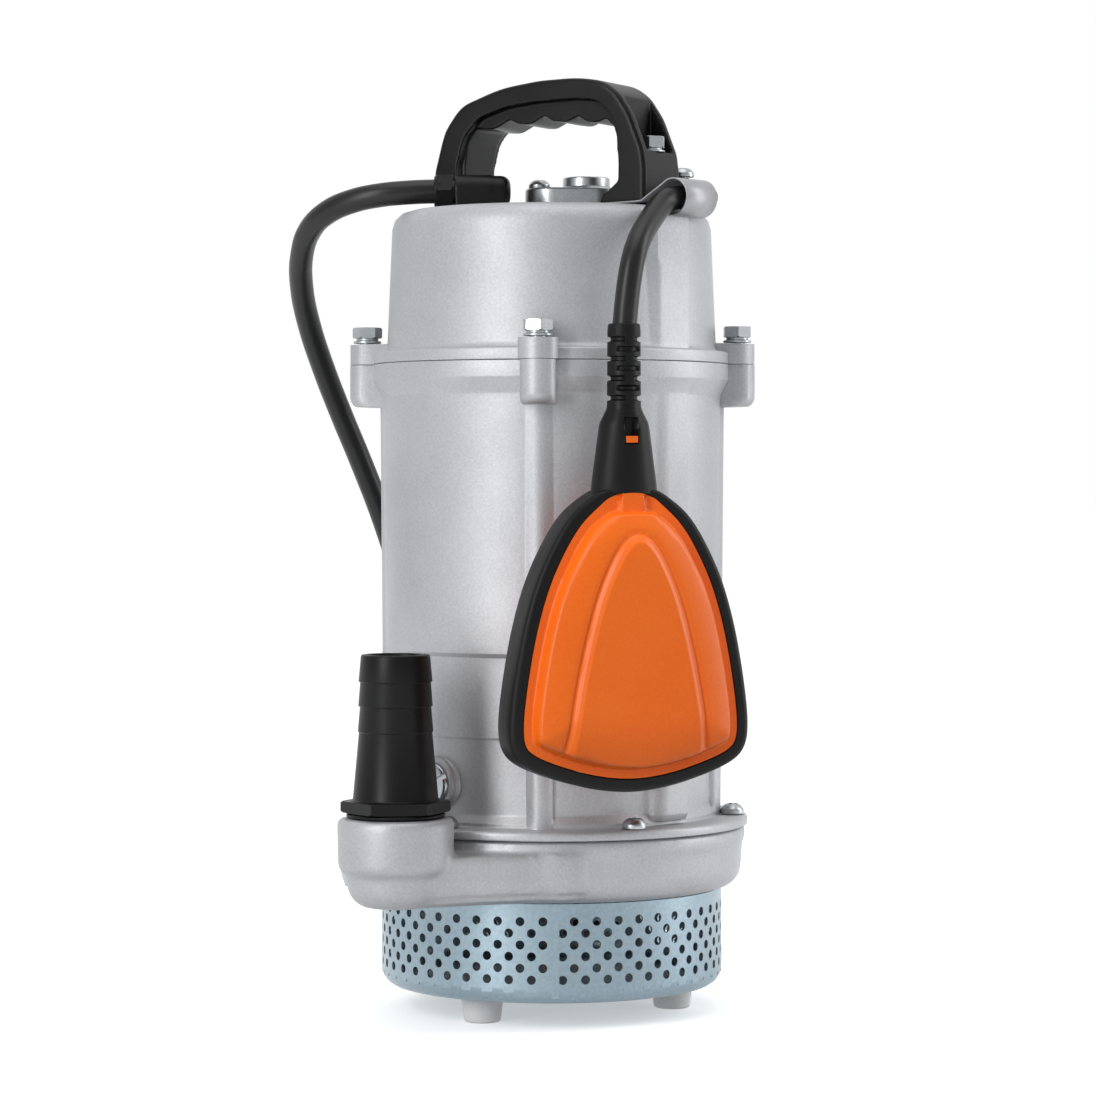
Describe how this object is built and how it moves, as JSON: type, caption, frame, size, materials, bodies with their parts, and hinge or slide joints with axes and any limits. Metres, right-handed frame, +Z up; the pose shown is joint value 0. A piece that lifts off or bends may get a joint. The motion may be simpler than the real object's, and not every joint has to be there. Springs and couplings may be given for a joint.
{
  "type": "submersible sump pump",
  "caption": "Submersible sump pump: cast motor body on a strainer base, with hose barb outlet, carrying handle, float switch on a short lead, and supply cord.",
  "frame": {"origin": "centre of the pump's footprint box at the level of its feet, leaving out the supply cord, its coil and plug", "axes": "+Z up along the motor shaft, -Y towards the front lug, between the hose outlet on the left and the float on the right"},
  "size_m": [0.1864, 0.3962, 0.36],
  "materials": {
    "cast_casing": "sand-textured cast aluminium with a light grey coat",
    "zinc_steel": "bright zinc plated steel",
    "galvanised_sheet": "blue-grey galvanised sheet steel",
    "clip_sheet": "grey painted steel strap",
    "black_nylon": "black glass-filled nylon",
    "black_rubber": "black rubber",
    "orange_shell": "orange moulded polypropylene",
    "grey_foot": "light grey rubber",
    "machined_steel": "ground steel",
    "lamination_steel": "stacked electrical steel",
    "copper_winding": "varnished copper wire",
    "white_plastic": "off-white plastic",
    "seal_ceramic": "alumina ceramic",
    "bronze": "cast bronze"
  },
  "bodies": {
    "pump": {"upper_cap": "cast_casing", "motor_housing": "cast_casing", "volute_casing": "cast_casing", "bearing_bracket": "cast_casing", "handle_bolt_1": "zinc_steel", "handle_bolt_2": "zinc_steel", "flange_bolt_1": "zinc_steel", "flange_bolt_2": "zinc_steel", "flange_bolt_3": "zinc_steel", "flange_bolt_4": "zinc_steel", "base_screw_1": "zinc_steel", "base_screw_2": "zinc_steel", "base_screw_3": "zinc_steel", "base_screw_4": "zinc_steel", "base_screw_5": "zinc_steel", "base_screw_6": "zinc_steel", "access_screw": "zinc_steel", "gland_screw": "zinc_steel", "access_plate": "zinc_steel", "oil_plug": "zinc_steel", "strainer": "galvanised_sheet", "cord_clip": "clip_sheet", "handle": "black_nylon", "hose_barb": "black_nylon", "cord_gland": "black_nylon", "gland_nut": "black_nylon", "float_gland": "black_nylon", "casing_seal": "black_rubber", "volute_seal": "black_rubber", "barb_gasket": "black_rubber", "oil_plug_seal": "black_rubber", "mains_cord": "black_rubber", "mains_coil": "black_rubber", "mains_plug": "black_rubber", "foot_1": "grey_foot", "foot_2": "grey_foot", "foot_3": "grey_foot", "upper_bearing": "machined_steel", "lower_bearing": "machined_steel", "stator_core": "lamination_steel", "winding_top": "copper_winding", "winding_bottom": "copper_winding", "capacitor": "white_plastic", "seal_seat": "seal_ceramic"},
    "rotor": {"shaft": "machined_steel", "rotor_core": "lamination_steel", "seal_head": "machined_steel", "impeller": "bronze", "impeller_nut": "zinc_steel"},
    "float": {"float_rim": "black_rubber", "float_shell_front": "orange_shell", "float_shell_back": "orange_shell", "float_boot": "black_nylon", "float_cord": "black_rubber", "microswitch": "black_nylon", "ball_channel": "white_plastic"},
    "ball": {"switch_ball": "machined_steel"},
    "lever": {"switch_lever": "machined_steel"}
  },
  "joints": [
    {"name": "rotor_spin", "type": "hinge", "parent": "pump", "child": "rotor", "pos_m": [0, 0.01535, 0.19], "axis": [0, 0, 1], "continuous": true},
    {"name": "float_swing", "type": "hinge", "parent": "pump", "child": "float", "pos_m": [0.04846, -0.0316, 0.311], "axis": [-0.9135, -0.4067, 0], "range_deg": [0, 120], "deforming": ["float_cord"]},
    {"name": "ball_roll", "type": "slide", "parent": "float", "child": "ball", "axis": [0, 0, 1], "range_m": [0, 0.03]},
    {"name": "lever_press", "type": "hinge", "parent": "float", "child": "lever", "pos_m": [0.02129, -0.07141, 0.1599], "axis": [0.4067, -0.9135, 0], "range_deg": [0, 2.2], "stiffness_Nm_per_rad": 0.004}
  ],
  "couplings": [
    {"joint": "lever_press", "follows": "ball_roll", "rad_per_m": 1.25}
  ]
}
